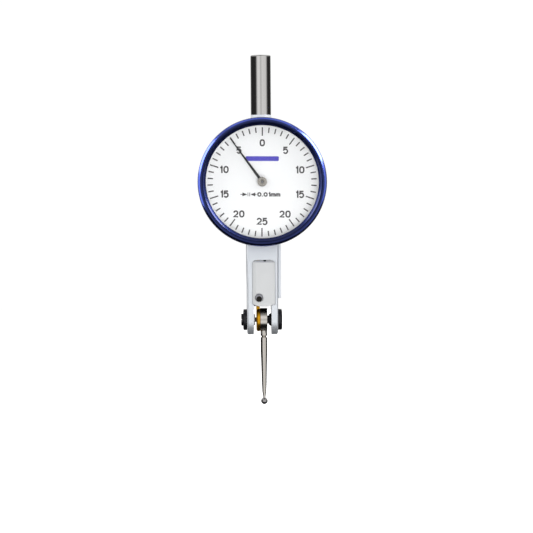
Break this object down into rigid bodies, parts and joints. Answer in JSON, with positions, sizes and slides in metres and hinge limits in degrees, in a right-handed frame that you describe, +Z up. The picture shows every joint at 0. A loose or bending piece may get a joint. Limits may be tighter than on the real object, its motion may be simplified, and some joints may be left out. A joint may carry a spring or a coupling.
{
  "type": "lever dial test indicator",
  "caption": "Lever-type dial test indicator with a round turning bezel, clamping stem, geared pointer and a swivelling ball-tipped stylus.",
  "frame": {"origin": "on the clamping stem's axis, at the shoulder where the stem meets the body", "axes": "+Z up along the stem, -Y is where the dial faces, +X to the reader's right"},
  "size_m": [0.038, 0.0174, 0.1034],
  "materials": {
    "satin_chrome": "fine satin chrome plating",
    "ground_steel": "ground around its axis",
    "cover_plate": "bead blasted plate",
    "case_steel": "satin turned cup",
    "movement_plate": "fine turned brass",
    "blackened_steel": "black oxide",
    "small_screws": "polished small screws",
    "bezel_blue": "dark blue anodised",
    "crystal_clear": "clear polished",
    "gasket_black": "moulded",
    "dial_white": "matt white print ground",
    "spring_steel": "hardened wire",
    "lever_brass": "satin gilt brass",
    "hub_steel": "polished steel",
    "stylus_steel": "fine ground",
    "carbide": "polished carbide",
    "gear_brass": "cut brass",
    "jewel_red": "polished synthetic jewel",
    "pointer_black": "black lacquer",
    "pointer_hub": "turned"
  },
  "bodies": {
    "body_group": {"frame": "satin_chrome", "stem": "ground_steel", "nose_cover": "cover_plate", "cover_washer": "small_screws", "cover_screw": "small_screws", "dial_case": "case_steel", "case_screws": "small_screws", "movement_bridge": "movement_plate", "bridge_pillars": "movement_plate", "bridge_screws": "small_screws", "centre_cock": "movement_plate", "cock_screw": "small_screws", "sector_bushes": "gear_brass", "crown_bushes": "gear_brass", "sector_jewels": "jewel_red", "crown_jewels": "jewel_red", "centre_jewels": "jewel_red", "hairspring": "spring_steel", "hairspring_stud": "movement_plate", "bearing_screw_left": "blackened_steel", "bearing_screw_right": "blackened_steel", "bearing_washer_left": "small_screws", "bearing_washer_right": "blackened_steel"},
    "bezel_group": {"bezel": "bezel_blue", "crystal": "crystal_clear", "crystal_gasket": "gasket_black", "dial_spacer": "case_steel", "dial_plate": "dial_white", "dial_snap_ring": "spring_steel", "bezel_spring_ring": "spring_steel"},
    "lever_group": {"measuring_lever": "lever_brass", "lever_pin": "spring_steel", "pivot_axle": "blackened_steel", "clutch_spring": "spring_steel", "clutch_nut": "small_screws"},
    "stylus_group": {"stylus_hub": "hub_steel", "stylus": "stylus_steel", "stylus_ball": "carbide"},
    "sector_group": {"sector_gear": "gear_brass", "sector_arbor": "spring_steel"},
    "crown_group": {"crown_arbor": "spring_steel", "crown_wheel": "gear_brass"},
    "pointer_group": {"centre_arbor": "spring_steel", "hairspring_collet": "gear_brass", "pointer": "pointer_black", "pointer_hub": "pointer_hub"}
  },
  "joints": [
    {"name": "bezel_turn", "type": "hinge", "parent": "body_group", "child": "bezel_group", "pos_m": [0, 0, -0.02], "axis": [0, 1, 0], "continuous": true},
    {"name": "pointer_turn", "type": "hinge", "parent": "body_group", "child": "pointer_group", "pos_m": [0, 0, -0.02], "axis": [0, 1, 0], "range_deg": [-180, 180], "stiffness_Nm_per_rad": 0.000005, "deforming": ["hairspring"]},
    {"name": "lever_swing", "type": "hinge", "parent": "body_group", "child": "lever_group", "pos_m": [0, 0, -0.0606], "axis": [1, 0, 0], "range_deg": [-0.6, 0.6]},
    {"name": "stylus_set", "type": "hinge", "parent": "lever_group", "child": "stylus_group", "pos_m": [0, 0, -0.0606], "axis": [1, 0, 0], "range_deg": [-105, 105]},
    {"name": "sector_swing", "type": "hinge", "parent": "body_group", "child": "sector_group", "pos_m": [0, 0, -0.033], "axis": [1, 0, 0], "range_deg": [-4.6, 4.6]},
    {"name": "crown_turn", "type": "hinge", "parent": "body_group", "child": "crown_group", "pos_m": [0, -0.00226, -0.02], "axis": [1, 0, 0], "range_deg": [-46, 46]}
  ],
  "couplings": [
    {"joint": "lever_swing", "follows": "pointer_turn", "ratio": -0.0033058},
    {"joint": "sector_swing", "follows": "pointer_turn", "ratio": 0.025},
    {"joint": "crown_turn", "follows": "pointer_turn", "ratio": -0.25}
  ]
}
